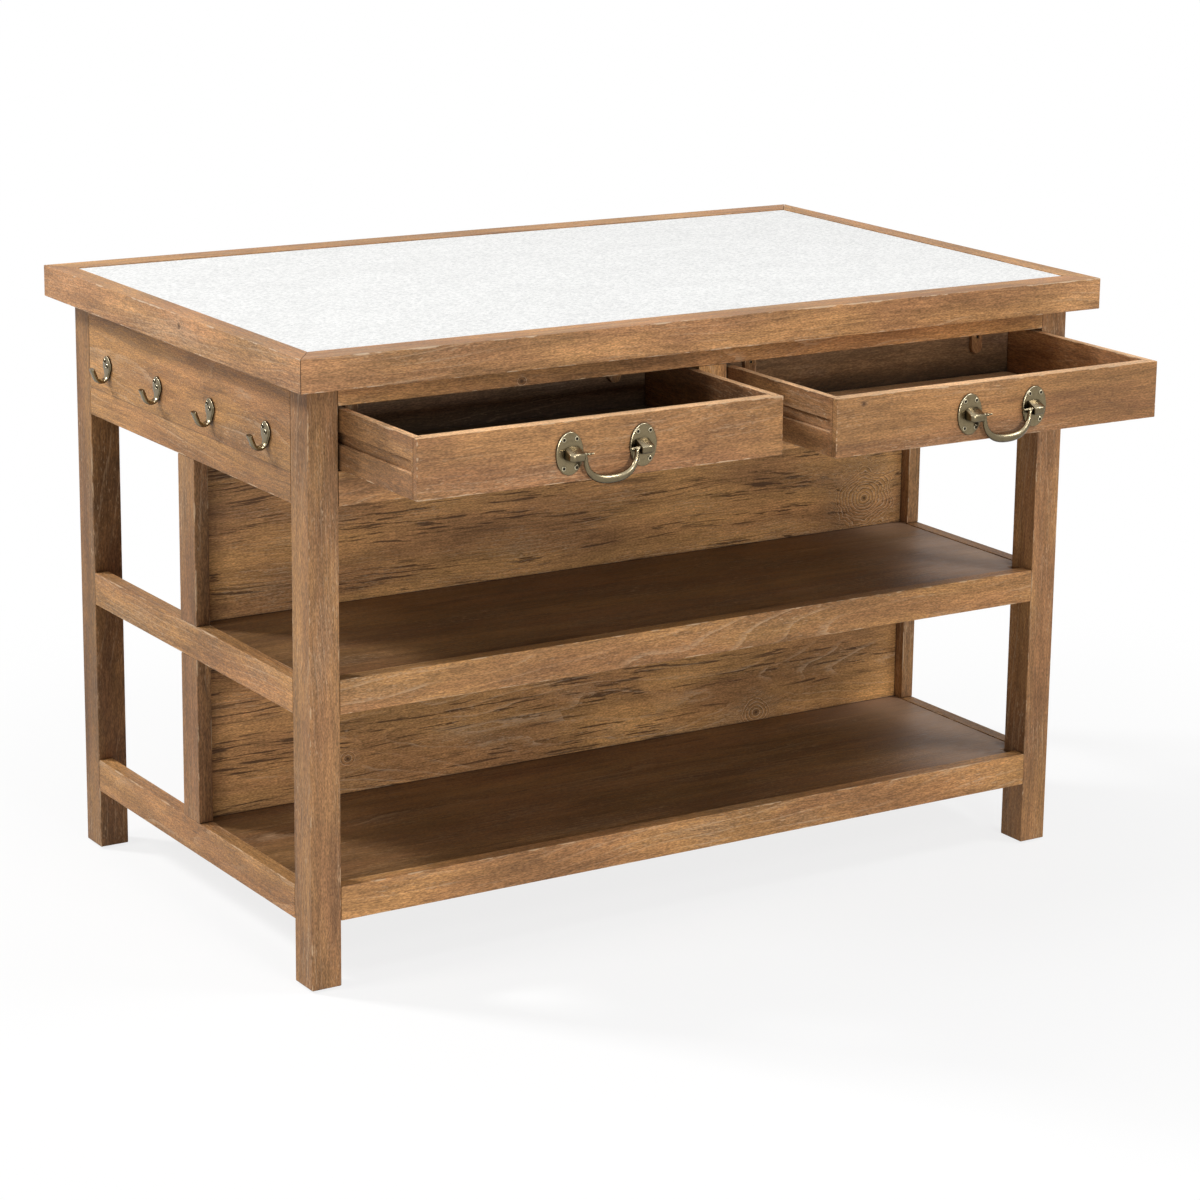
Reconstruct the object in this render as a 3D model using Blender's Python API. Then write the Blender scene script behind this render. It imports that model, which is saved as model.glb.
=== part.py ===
"""A kitchen island: wooden frame, stone worktop, two drawers, two shelves and side hooks.

Metres, +Z up. X runs along the island, -Y is the drawer side and Z = 0 is the floor.
Sizes are worked out about the centre of the frame, and one empty then moves the whole island
so that the origin is under the middle of its box with the drawers as drawn, part open.
"""

import math

import bmesh
import bpy
from mathutils import Vector

# Gap left between faces that touch
FIT = 0.0003

# Worktop
TOP_LENGTH = 1.378
TOP_DEPTH = 0.852
TOP_HEIGHT = 0.917
TOP_THICKNESS = 0.0475
BORDER_END_WIDTH = 0.034
BORDER_LONG_WIDTH = 0.0455
STONE_THICKNESS = 0.020
STONE_LEDGE = 0.014
OVERHANG_END = 0.031
OVERHANG_LONG = 0.0415

# Legs and glides
LEG_WIDTH = 0.0465
LEG_DEPTH = 0.0515
GLIDE_HEIGHT = 0.003
GLIDE_RADIUS = 0.009
GLIDE_SIDES = 12

# Boards of the frame
BOARD = 0.0225
FRONT_TOP_RAIL = 0.031
FRONT_LOW_RAIL = 0.050
STILE_WIDTH = 0.048
POST_DEPTH = 0.053
RAIL_HEIGHT = 0.0505
MID_RAIL_TOP = 0.4525
LOW_RAIL_TOP = 0.1505
SIDE_RAIL_DROP = 0.004
SHELF_DROP = 0.005
SHELF_THICKNESS = 0.020
SHELF_NOTCH_ROOM = 0.008
PANEL_THICKNESS = 0.018
PANEL_SETBACK = 0.020

# Drawers
DRAWER_HEIGHT = 0.0845
DRAWER_ROOM_ABOVE = 0.004
DRAWER_ROOM_BELOW = 0.0015
DRAWER_ROOM_SIDE = 0.002
DRAWER_ROOM_BEHIND = 0.028
DRAWER_FRONT = 0.020
DRAWER_FRONT_LIP = 0.011
DRAWER_WALL = 0.012
DRAWER_BOTTOM = 0.006
DRAWER_BOTTOM_RISE = 0.005
LEFT_TRAVEL_SPARE = 0.0912
RIGHT_TRAVEL_SPARE = 0.0347

# Runners and the grooves that they slide in
GROOVE_RISE = 0.0345
GROOVE_HEIGHT = 0.018
GROOVE_DEPTH = 0.006
GROOVE_STOP = 0.016
RUNNER_PLAY_BELOW = 0.0017
RUNNER_PLAY_END = 0.001
CARRIER_HEIGHT = 0.045

# Turn-button stops on the drawer backs
STOP_LENGTH = 0.052
STOP_WIDTH = 0.020
STOP_THICKNESS = 0.008
STOP_INSET = 0.0675
STOP_PIVOT_DROP = 0.0115
STOP_TILT = math.radians(-40)
STOP_ARC_POINTS = 7

# Drop handles
HANDLE_SPACING = 0.1175
HANDLE_DROP = 0.002
PLATE_WIDTH = 0.043
PLATE_HEIGHT = 0.060
PLATE_THICKNESS = 0.003
PLATE_SIDES = 28
BOSS_WIDTH = 0.022
BOSS_SHIFT = 0.002
BOSS_DEPTH = 0.018
BOSS_RISE = 0.010
BOSS_BROW = 0.003
BOSS_FALL = 0.009
BOSS_ROUND = 0.004
BOSS_BROW_TURN = math.radians(72)
BOSS_ARC_POINTS = 4
PIVOT_REACH = 0.011
PIVOT_DROP = 0.001
PIN_RADIUS = 0.0028
PIN_PLAY = 0.0004
PIN_LENGTH = 0.012
BAIL_ARM_RADIUS = 0.0033
BAIL_GRIP_RADIUS = 0.0064
BAIL_DROP = 0.0375
BAIL_ROOM = 0.001
BAIL_SQUARENESS = 2.5
BAIL_POINTS = 24
BAIL_SHOULDER = 0.0045
BAIL_SHOULDER_POINTS = 4
NIB_LENGTH = 0.013
NIB_RADIUS = 0.0024
NIB_POINT_RADIUS = 0.0006
TUBE_SIDES = 10

# Hooks on the left side
HOOK_COUNT = 4
HOOK_ROOM_FRONT = 0.0713
HOOK_ROOM_BACK = 0.0683
HOOK_DROP = 0.0693
HOOK_LEAF_LENGTH = 0.0275
HOOK_LEAF_WIDTH = 0.027
HOOK_LEAF_THICKNESS = 0.0035
HOOK_PRONG_WIDTH = 0.0105
HOOK_PRONG_THICKNESS = 0.0068
HOOK_TIP_WIDTH = 0.0135
HOOK_BEND_RADIUS = 0.0100
HOOK_BEND_ANGLE = math.radians(158)
HOOK_BEND_STEPS = 6
HOOK_PRONG_LENGTH = 0.0150
HOOK_PRONG_STEPS = 2
HOOK_SIDES = 10

# Leaf of a hook: share of its length from the point down, and share of its width there
HOOK_LEAF_OUTLINE = (
    (0.00, 0.14), (0.08, 0.48), (0.20, 0.78), (0.38, 0.96), (0.55, 1.00),
    (0.74, 0.93), (0.90, 0.76), (1.00, 0.60),
)

# Colours, roughness and metallic value of each finish
FINISHES = {
    "stained_wood": ((0.27, 0.165, 0.09), 0.6, 0.0),
    "drawer_wood": ((0.30, 0.19, 0.105), 0.6, 0.0),
    "white_stone": ((0.82, 0.82, 0.80), 0.35, 0.0),
    "antique_brass": ((0.33, 0.27, 0.15), 0.38, 1.0),
    "dark_plastic": ((0.03, 0.03, 0.03), 0.8, 0.0),
}

# Places that follow from the sizes above
UNDER_TOP = TOP_HEIGHT - TOP_THICKNESS
FRAME_X = TOP_LENGTH / 2 - OVERHANG_END
FRAME_Y = TOP_DEPTH / 2 - OVERHANG_LONG
LEG_INNER_X = FRAME_X - LEG_WIDTH
LEG_INNER_Y = FRAME_Y - LEG_DEPTH
BOARD_INNER_X = FRAME_X - BOARD
RAIL_BACK_Y = -FRAME_Y + BOARD
OPENING_TOP = UNDER_TOP - FRONT_TOP_RAIL
OPENING_BOTTOM = OPENING_TOP - DRAWER_ROOM_ABOVE - DRAWER_HEIGHT - DRAWER_ROOM_BELOW
APRON_BOTTOM = OPENING_BOTTOM - FRONT_LOW_RAIL
PANEL_FRONT_Y = -POST_DEPTH / 2 + PANEL_SETBACK
MID_SHELF_TOP = MID_RAIL_TOP - SHELF_DROP
LOW_SHELF_TOP = LOW_RAIL_TOP - SHELF_DROP
DRAWER_DEPTH = FRAME_Y + PANEL_FRONT_Y - DRAWER_ROOM_BEHIND
FULL_PULL = DRAWER_DEPTH - DRAWER_WALL - FIT - STOP_THICKNESS - BOARD
PULL_LEFT = FULL_PULL - LEFT_TRAVEL_SPARE
PULL_RIGHT = FULL_PULL - RIGHT_TRAVEL_SPARE
DRAWER_LOW = OPENING_BOTTOM + DRAWER_ROOM_BELOW
DRAWER_TOP = DRAWER_LOW + DRAWER_HEIGHT
DRAWER_NEAR_X = STILE_WIDTH / 2 + DRAWER_ROOM_SIDE
DRAWER_FAR_X = LEG_INNER_X - DRAWER_ROOM_SIDE
GROOVE_LOW = DRAWER_LOW + GROOVE_RISE
GROOVE_TOP = GROOVE_LOW + GROOVE_HEIGHT
RUNNER_LOW = GROOVE_LOW + RUNNER_PLAY_BELOW
RUNNER_TOP = GROOVE_TOP - FIT
RUNNER_REACH = GROOVE_DEPTH - RUNNER_PLAY_END
PLATE_OUT = FIT + PLATE_THICKNESS
HANDLE_REACH = PLATE_OUT + BOSS_DEPTH
ISLAND_CENTRE_Y = (FRAME_Y + max(PULL_LEFT, PULL_RIGHT) + HANDLE_REACH - TOP_DEPTH / 2) / 2


def clear_scene():
    """Removes whatever the scene starts with."""
    for item in list(bpy.data.objects):
        bpy.data.objects.remove(item)


def finish(name):
    """The named finish as a Principled material."""
    material = bpy.data.materials.get(name)
    if material is None:
        colour, roughness, metallic = FINISHES[name]
        material = bpy.data.materials.new(name)
        material.use_nodes = True
        shader = material.node_tree.nodes["Principled BSDF"]
        shader.inputs["Base Color"].default_value = (*colour, 1.0)
        shader.inputs["Roughness"].default_value = roughness
        shader.inputs["Metallic"].default_value = metallic
        material.diffuse_color = (*colour, 1.0)
    return material


def frame_empty(name, place, parent=None):
    """An empty that carries pieces. Places are in the island's own frame."""
    empty = bpy.data.objects.new(name, None)
    bpy.context.scene.collection.objects.link(empty)
    put(empty, Vector(place), parent)
    return empty


def put(item, place, parent):
    """Parents an object and sets it at a place in the island's own frame."""
    item["place"] = place
    if parent is None:
        item.location = place
        return
    item.parent = parent
    item.location = place - Vector(parent["place"])


def piece(name, mesh, finish_name, parent, place=(0, 0, 0), turn_y=0.0, smooth=False):
    """Makes an object of a bmesh drawn about the object's own origin."""
    bmesh.ops.recalc_face_normals(mesh, faces=mesh.faces)
    data = bpy.data.meshes.new(name)
    mesh.to_mesh(data)
    mesh.free()
    data.materials.append(finish(finish_name))
    if smooth:
        data.shade_smooth()
        data.set_sharp_from_angle(angle=math.radians(35))
    item = bpy.data.objects.new(name, data)
    bpy.context.scene.collection.objects.link(item)
    put(item, Vector(place), parent)
    item.rotation_euler = (0, turn_y, 0)
    return item


def bridge(rings):
    """A closed body through a list of rings with equal numbers of points."""
    mesh = bmesh.new()
    loops = [[mesh.verts.new(point) for point in ring] for ring in rings]
    for first, second in zip(loops, loops[1:]):
        for index in range(len(first)):
            after = (index + 1) % len(first)
            mesh.faces.new((first[index], first[after], second[after], second[index]))
    mesh.faces.new(loops[0][::-1])
    mesh.faces.new(loops[-1])
    return mesh


def prism(outline, axis, low, high):
    """An outline pushed along an axis. The outline gives the other two coordinates in order."""
    def point(pair, level):
        coordinates = list(pair)
        coordinates.insert("XYZ".index(axis), level)
        return Vector(coordinates)
    return bridge([[point(pair, low) for pair in outline], [point(pair, high) for pair in outline]])


def rectangle(low, high):
    """The four corners of an upright rectangle."""
    return [(low[0], low[1]), (high[0], low[1]), (high[0], high[1]), (low[0], high[1])]


def block(low, high):
    """A box between two corners."""
    return prism(rectangle(low[:2], high[:2]), "Z", low[2], high[2])


def arc(centre, radius, start, end, points):
    """Points of an arc, with angles in radians."""
    steps = [start + (end - start) * index / (points - 1) for index in range(points)]
    return [(centre[0] + radius * math.cos(a), centre[1] + radius * math.sin(a)) for a in steps]


def cut(item, cutter_mesh, name, parent, place=(0, 0, 0)):
    """Takes a cutter's shape out of an object with a Boolean."""
    cutter = piece(name, cutter_mesh, "dark_plastic", parent, place)
    cutter.hide_render = True
    cutter.display_type = "WIRE"
    modifier = item.modifiers.new(name, "BOOLEAN")
    modifier.operation = "DIFFERENCE"
    modifier.solver = "EXACT"
    modifier.object = cutter


def worktop(island):
    """Four mitred border boards with a ledge, and the stone that lies on it."""
    half_x = TOP_LENGTH / 2
    half_y = TOP_DEPTH / 2
    ledge_z = TOP_HEIGHT - STONE_THICKNESS - FIT
    inset_y = (0, BORDER_LONG_WIDTH, BORDER_LONG_WIDTH + STONE_LEDGE)
    inset_x = [inset * BORDER_END_WIDTH / BORDER_LONG_WIDTH for inset in inset_y]
    section = [(0, UNDER_TOP), (2, UNDER_TOP), (2, ledge_z), (1, ledge_z), (1, TOP_HEIGHT), (0, TOP_HEIGHT)]

    for name, side in (("top_border_front", -1), ("top_border_back", 1)):
        rings = []
        for end in (-1, 1):
            rings.append([
                (end * (half_x - inset_x[step] - FIT), side * (half_y - inset_y[step]), z)
                for step, z in section
            ])
        piece(name, bridge(rings), "stained_wood", island)

    for name, side in (("top_border_left", -1), ("top_border_right", 1)):
        rings = []
        for end in (-1, 1):
            rings.append([
                (side * (half_x - inset_x[step]), end * (half_y - inset_y[step] - FIT), z)
                for step, z in section
            ])
        piece(name, bridge(rings), "stained_wood", island)

    stone_x = half_x - BORDER_END_WIDTH - FIT
    stone_y = half_y - BORDER_LONG_WIDTH - FIT
    stone = block((-stone_x, -stone_y, TOP_HEIGHT - STONE_THICKNESS), (stone_x, stone_y, TOP_HEIGHT))
    piece("stone_top", stone, "white_stone", island)


def legs(island):
    """Four legs on glides."""
    for end_name, end in (("front", -1), ("back", 1)):
        for side_name, side in (("left", -1), ("right", 1)):
            near = (side * LEG_INNER_X, end * LEG_INNER_Y)
            far = (side * FRAME_X, end * FRAME_Y)
            low = (min(near[0], far[0]), min(near[1], far[1]), GLIDE_HEIGHT)
            high = (max(near[0], far[0]), max(near[1], far[1]), UNDER_TOP - FIT)
            piece(f"leg_{end_name}_{side_name}", block(low, high), "stained_wood", island)
            middle = ((near[0] + far[0]) / 2, (near[1] + far[1]) / 2)
            circle = arc((0, 0), GLIDE_RADIUS, 0, 2 * math.pi, GLIDE_SIDES + 1)[:-1]
            pad = prism(circle, "Z", 0, GLIDE_HEIGHT - FIT)
            piece(f"glide_{end_name}_{side_name}", pad, "dark_plastic", island, (*middle, 0))


def side_frames(island):
    """Aprons, rails and posts of the two ends."""
    run = LEG_INNER_Y - FIT
    mid_top = MID_RAIL_TOP - SIDE_RAIL_DROP
    low_top = LOW_RAIL_TOP - SIDE_RAIL_DROP
    levels = (
        ("apron", run, APRON_BOTTOM, UNDER_TOP - FIT),
        ("mid_rail", run, mid_top - RAIL_HEIGHT, mid_top),
        ("low_rail", run, low_top - RAIL_HEIGHT, low_top),
        ("upper_post", POST_DEPTH / 2, mid_top + FIT, APRON_BOTTOM - FIT),
        ("lower_post", POST_DEPTH / 2, low_top + FIT, mid_top - RAIL_HEIGHT - FIT),
    )
    for side_name, side in (("left", -1), ("right", 1)):
        low_x = min(side * BOARD_INNER_X, side * FRAME_X)
        high_x = max(side * BOARD_INNER_X, side * FRAME_X)
        for name, half, low, high in levels:
            board = block((low_x, -half, low), (high_x, half, high))
            piece(f"{name}_{side_name}", board, "stained_wood", island)


def front_and_back(island):
    """The rails and stile round the drawers, the shelf rails and the back apron."""
    run = LEG_INNER_X - FIT
    front = (
        ("front_top_rail", OPENING_TOP, UNDER_TOP - FIT),
        ("front_low_rail", APRON_BOTTOM, OPENING_BOTTOM),
        ("mid_shelf_rail", MID_RAIL_TOP - RAIL_HEIGHT, MID_RAIL_TOP),
        ("low_shelf_rail", LOW_RAIL_TOP - RAIL_HEIGHT, LOW_RAIL_TOP),
    )
    for name, low, high in front:
        board = block((-run, -FRAME_Y, low), (run, RAIL_BACK_Y, high))
        piece(name, board, "stained_wood", island)

    half = STILE_WIDTH / 2
    stile = block((-half, -FRAME_Y, OPENING_BOTTOM + FIT), (half, RAIL_BACK_Y, OPENING_TOP - FIT))
    piece("drawer_stile", stile, "stained_wood", island)

    back = block((-run, FRAME_Y - BOARD, APRON_BOTTOM), (run, FRAME_Y, UNDER_TOP - FIT))
    piece("back_apron", back, "stained_wood", island)


def shelves_and_panels(island):
    """Shelf boards notched round the front legs, and the divider panels that stand on them."""
    wide = BOARD_INNER_X - FIT
    notched = LEG_INNER_X - SHELF_NOTCH_ROOM
    front = RAIL_BACK_Y + FIT
    notch_back = -LEG_INNER_Y + FIT
    back = POST_DEPTH / 2
    outline = [
        (-notched, front), (notched, front), (notched, notch_back), (wide, notch_back),
        (wide, back), (-wide, back), (-wide, notch_back), (-notched, notch_back),
    ]
    for name, top in (("mid_shelf", MID_SHELF_TOP), ("low_shelf", LOW_SHELF_TOP)):
        board = prism(outline, "Z", top - SHELF_THICKNESS, top)
        piece(name, board, "stained_wood", island)

    panels = (
        ("upper_panel", MID_SHELF_TOP + FIT, UNDER_TOP - FIT),
        ("lower_panel", LOW_SHELF_TOP + FIT, MID_SHELF_TOP - SHELF_THICKNESS - FIT),
    )
    for name, low, high in panels:
        board = block((-wide, PANEL_FRONT_Y, low), (wide, PANEL_FRONT_Y + PANEL_THICKNESS, high))
        piece(name, board, "stained_wood", island)


def runners(island):
    """A stepped runner on each side of the case, and a carrier with two tongues in the middle."""
    front = -FRAME_Y + GROOVE_STOP + RUNNER_PLAY_END
    behind_leg = -LEG_INNER_Y + FIT
    back = PANEL_FRONT_Y - FIT
    for side_name, side in (("left", -1), ("right", 1)):
        tip = side * (DRAWER_FAR_X - RUNNER_REACH)
        at_leg = side * (LEG_INNER_X - FIT)
        at_board = side * (BOARD_INNER_X - FIT)
        outline = [(tip, front), (at_leg, front), (at_leg, behind_leg), (at_board, behind_leg),
                   (at_board, back), (tip, back)]
        strip = prism(outline, "Z", RUNNER_LOW, RUNNER_TOP)
        piece(f"drawer_runner_{side_name}", strip, "stained_wood", island)

    web = STILE_WIDTH / 2
    tip = DRAWER_NEAR_X + RUNNER_REACH
    middle = (RUNNER_LOW + RUNNER_TOP) / 2
    low = middle - CARRIER_HEIGHT / 2
    high = middle + CARRIER_HEIGHT / 2
    section = [(-web, low), (web, low), (web, RUNNER_LOW), (tip, RUNNER_LOW), (tip, RUNNER_TOP),
               (web, RUNNER_TOP), (web, high), (-web, high), (-web, RUNNER_TOP), (-tip, RUNNER_TOP),
               (-tip, RUNNER_LOW), (-web, RUNNER_LOW)]
    carrier = prism(section, "Y", RAIL_BACK_Y + FIT, back)
    piece("drawer_carrier", carrier, "stained_wood", island)


def drawer(island, name, low_x, high_x, pull):
    """One drawer: lipped front, grooved sides, back and bottom. Returns the empty that carries it."""
    face = -FRAME_Y - pull
    carrier = frame_empty(f"{name}_slide", ((low_x + high_x) / 2, face, DRAWER_LOW), island)
    back = face + DRAWER_DEPTH
    inner = (low_x + DRAWER_WALL, high_x - DRAWER_WALL)
    lip = face + DRAWER_FRONT_LIP
    behind = face + DRAWER_FRONT

    def fitted(part, mesh):
        bmesh.ops.translate(mesh, verts=mesh.verts, vec=-Vector(carrier["place"]))
        return piece(f"{name}_{part}", mesh, "drawer_wood", carrier, carrier["place"])

    outline = [(low_x, face), (high_x, face), (high_x, lip), (inner[1] - FIT, lip),
               (inner[1] - FIT, behind), (inner[0] + FIT, behind), (inner[0] + FIT, lip), (low_x, lip)]
    fitted("front", prism(outline, "Z", DRAWER_LOW, DRAWER_TOP))

    for side_name, outer, wall in (("left", low_x, inner[0]), ("right", high_x, inner[1])):
        low = (min(outer, wall), lip + FIT, DRAWER_LOW)
        high = (max(outer, wall), back, DRAWER_TOP)
        board = fitted(f"side_{side_name}", block(low, high))
        inward = math.copysign(1, wall - outer)
        groove_x = sorted((outer + inward * GROOVE_DEPTH, outer - inward * GROOVE_DEPTH))
        groove = block((groove_x[0], face + GROOVE_STOP, GROOVE_LOW),
                       (groove_x[1], back + GROOVE_DEPTH, GROOVE_TOP))
        bmesh.ops.translate(groove, verts=groove.verts, vec=-Vector(carrier["place"]))
        cut(board, groove, f"{name}_groove_{side_name}", carrier, carrier["place"])

    back_board = block((inner[0] + FIT, back - DRAWER_WALL, DRAWER_LOW),
                       (inner[1] - FIT, back, DRAWER_TOP))
    fitted("back", back_board)

    bottom_low = DRAWER_LOW + DRAWER_BOTTOM_RISE
    bottom = block((inner[0] + FIT, behind + FIT, bottom_low),
                   (inner[1] - FIT, back - DRAWER_WALL - FIT, bottom_low + DRAWER_BOTTOM))
    fitted("bottom", bottom)
    return carrier


def drawer_stop(drawer_empty, name, x, back_inner_y, tilt):
    """A round-ended wooden button that turns on its screw, drawn about the screw."""
    half = STOP_LENGTH / 2 - STOP_WIDTH / 2
    radius = STOP_WIDTH / 2
    outline = arc((0, half), radius, 0, math.pi, STOP_ARC_POINTS)
    outline += arc((0, -half), radius, math.pi, 2 * math.pi, STOP_ARC_POINTS)
    button = prism(outline, "Y", -STOP_THICKNESS, 0)
    place = (x, back_inner_y - FIT, DRAWER_TOP - STOP_PIVOT_DROP)
    piece(name, button, "drawer_wood", drawer_empty, place, turn_y=tilt)


def handle_plate(drawer_empty, name, centre, inward):
    """An oval plate with a wedge-shaped post that is bored for the bail's pin."""
    oval = []
    for index in range(PLATE_SIDES):
        angle = 2 * math.pi * index / PLATE_SIDES
        oval.append((PLATE_WIDTH / 2 * math.cos(angle), PLATE_HEIGHT / 2 * math.sin(angle)))
    plate = piece(name, prism(oval, "Y", -PLATE_OUT, -FIT), "antique_brass", drawer_empty, centre)

    nose = -PLATE_OUT - BOSS_DEPTH
    root = -PLATE_OUT + PLATE_THICKNESS / 2
    brow = arc((nose + BOSS_ROUND, BOSS_BROW - BOSS_ROUND), BOSS_ROUND,
               math.pi, math.pi - BOSS_BROW_TURN, BOSS_ARC_POINTS)
    chin = arc((nose + BOSS_ROUND, -BOSS_FALL + BOSS_ROUND), BOSS_ROUND,
               math.pi * 1.5, math.pi, BOSS_ARC_POINTS)
    section = [(root, -BOSS_FALL)] + chin + brow + [(root, BOSS_RISE)]
    middle = inward * BOSS_SHIFT
    boss = prism(section, "X", middle - BOSS_WIDTH / 2, middle + BOSS_WIDTH / 2)
    unite(plate, boss, f"{name}_boss", drawer_empty, centre)

    inner_face = middle + inward * BOSS_WIDTH / 2
    hole_x = sorted((inner_face - inward * (PIN_LENGTH + PIN_PLAY), inner_face + inward * PIN_LENGTH))
    circle = arc((-PLATE_OUT - PIVOT_REACH, -PIVOT_DROP), PIN_RADIUS + PIN_PLAY, 0, 2 * math.pi,
                 TUBE_SIDES + 1)[:-1]
    cut(plate, prism(circle, "X", hole_x[0], hole_x[1]), f"{name}_pin_hole", drawer_empty, centre)


def tube_rings(path, radii, across):
    """Rings round the points of a path that lies in one plane, with across square to that plane."""
    rings = []
    for index, point in enumerate(path):
        before = path[max(index - 1, 0)]
        after = path[min(index + 1, len(path) - 1)]
        along = (after - before).normalized()
        side = along.cross(across)
        ring = []
        for step in range(TUBE_SIDES):
            angle = 2 * math.pi * (step + 0.5) / TUBE_SIDES
            ring.append(point + radii[index] * (math.cos(angle) * side + math.sin(angle) * across))
        rings.append(ring)
    return rings


def unite(item, guide_mesh, name, parent, place):
    """Joins a guide's shape to an object with a Boolean."""
    guide = piece(name, guide_mesh, "antique_brass", parent, place)
    guide.hide_render = True
    guide.display_type = "WIRE"
    modifier = item.modifiers.new(name, "BOOLEAN")
    modifier.operation = "UNION"
    modifier.solver = "EXACT"
    modifier.object = guide


def bail(drawer_empty, name, centre):
    """A U-shaped grip, thickest in the middle, with pins that turn in the posts and a nib inside each arm."""
    inner_face = HANDLE_SPACING / 2 - BOSS_SHIFT - BOSS_WIDTH / 2
    arm_x = inner_face - BAIL_ROOM - BAIL_ARM_RADIUS
    pin_out = inner_face + PIN_LENGTH - PIN_PLAY
    bend = arc((arm_x + BAIL_SHOULDER, -BAIL_SHOULDER), BAIL_SHOULDER,
               math.pi / 2, math.pi, BAIL_SHOULDER_POINTS)
    start = [(pin_out, 0.0)] + bend
    grip = []
    radii = []
    for index in range(BAIL_POINTS):
        angle = math.pi * (index + 0.5) / BAIL_POINTS
        power = 2 / BAIL_SQUARENESS
        x = arm_x * math.copysign(abs(math.cos(angle)) ** power, math.cos(angle))
        z = -BAIL_DROP * math.sin(angle) ** power
        if z < -2 * BAIL_SHOULDER:
            grip.append((x, z))
            swell = math.sin(angle) ** 2
            radii.append(BAIL_ARM_RADIUS + (BAIL_GRIP_RADIUS - BAIL_ARM_RADIUS) * swell)
    end = [(-x, z) for x, z in reversed(start)]
    pins = [PIN_RADIUS] * len(start)
    path = [Vector((x, 0, z)) for x, z in start + grip + end]
    body = bridge(tube_rings(path, pins + radii + pins, Vector((0, 1, 0))))
    item = piece(name, body, "antique_brass", drawer_empty, centre, smooth=True)

    for side_name, side in (("left", -1), ("right", 1)):
        rings = []
        for reach, radius in ((-BAIL_SHOULDER, NIB_RADIUS), (0, NIB_RADIUS), (NIB_LENGTH, NIB_POINT_RADIUS)):
            circle = arc((0, 0), radius, 0, 2 * math.pi, TUBE_SIDES + 1)[:-1]
            rings.append([(side * (arm_x - reach), y, z) for y, z in circle])
        unite(item, bridge(rings), f"{name}_nib_{side_name}", drawer_empty, centre)


def handle(drawer_empty, name, x, face):
    """Two plates and the bail between them, on the middle of a drawer front."""
    z = (DRAWER_LOW + DRAWER_TOP) / 2 - HANDLE_DROP
    for side_name, side in (("left", -1), ("right", 1)):
        centre = (x + side * HANDLE_SPACING / 2, face, z)
        handle_plate(drawer_empty, f"{name}_plate_{side_name}", centre, -side)
    bail(drawer_empty, f"{name}_bail", (x, face - PLATE_OUT - PIVOT_REACH, z - PIVOT_DROP))


def hook_sections():
    """Centre, outward direction, width and thickness of each section, from the leaf's point to the tip."""
    back = HOOK_LEAF_THICKNESS / 2 + FIT
    sections = []
    for share, width_share in HOOK_LEAF_OUTLINE:
        centre = (back, -HOOK_LEAF_LENGTH * share)
        sections.append((centre, (1.0, 0.0), HOOK_LEAF_WIDTH * width_share, HOOK_LEAF_THICKNESS))
    neck = sections[-1][2]
    for index in range(1, HOOK_BEND_STEPS + 1):
        share = index / HOOK_BEND_STEPS
        angle = HOOK_BEND_ANGLE * share
        out = back + HOOK_BEND_RADIUS * (1 - math.cos(angle))
        z = -HOOK_LEAF_LENGTH - HOOK_BEND_RADIUS * math.sin(angle)
        early = min(1.0, 2 * share)
        width = neck + (HOOK_PRONG_WIDTH - neck) * early
        thickness = HOOK_LEAF_THICKNESS + (HOOK_PRONG_THICKNESS - HOOK_LEAF_THICKNESS) * early
        sections.append(((out, z), (math.cos(angle), math.sin(angle)), width, thickness))
    (out, z), normal, width, thickness = sections[-1]
    for index in range(1, HOOK_PRONG_STEPS + 1):
        share = index / HOOK_PRONG_STEPS
        reach = HOOK_PRONG_LENGTH * share
        tip_width = HOOK_PRONG_WIDTH + (HOOK_TIP_WIDTH - HOOK_PRONG_WIDTH) * share
        centre = (out + normal[1] * reach, z - normal[0] * reach)
        sections.append((centre, normal, tip_width, thickness))
    return sections


def hooks(island):
    """Leaf-plate hooks in a row on the left apron."""
    first_y = LEG_INNER_Y - HOOK_ROOM_BACK
    last_y = -LEG_INNER_Y + HOOK_ROOM_FRONT
    for number in range(HOOK_COUNT):
        rings = []
        for (out, z), normal, width, thickness in hook_sections():
            ring = []
            for step in range(HOOK_SIDES):
                angle = 2 * math.pi * (step + 0.5) / HOOK_SIDES
                over = thickness / 2 * math.sin(angle)
                aside = width / 2 * math.cos(angle)
                ring.append((-(out + over * normal[0]), aside, z + over * normal[1]))
            rings.append(ring)
        y = first_y + (last_y - first_y) * number / (HOOK_COUNT - 1)
        place = (-FRAME_X, y, UNDER_TOP - HOOK_DROP)
        piece(f"hook_{number + 1}", bridge(rings), "antique_brass", island, place, smooth=True)


def main():
    """Builds the island."""
    clear_scene()
    island = frame_empty("island", (0, 0, 0))
    worktop(island)
    legs(island)
    side_frames(island)
    front_and_back(island)
    shelves_and_panels(island)
    runners(island)
    hooks(island)
    drawers = (
        ("left_drawer", -DRAWER_FAR_X, -DRAWER_NEAR_X, PULL_LEFT, (0.0, STOP_TILT)),
        ("right_drawer", DRAWER_NEAR_X, DRAWER_FAR_X, PULL_RIGHT, (0.0, 0.0)),
    )
    for name, low_x, high_x, pull, tilts in drawers:
        carrier = drawer(island, name, low_x, high_x, pull)
        face = -FRAME_Y - pull
        back_inner = face + DRAWER_DEPTH - DRAWER_WALL
        inset = DRAWER_WALL + STOP_INSET
        drawer_stop(carrier, f"{name}_stop_left", low_x + inset, back_inner, tilts[0])
        drawer_stop(carrier, f"{name}_stop_right", high_x - inset, back_inner, tilts[1])
        handle(carrier, f"{name}_handle", (low_x + high_x) / 2, face)
    island.location = (0, ISLAND_CENTRE_Y, 0)


main()
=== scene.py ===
"""Looks for a kitchen island: worn stained boards, honed stone and antique brass in studio light."""

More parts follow.
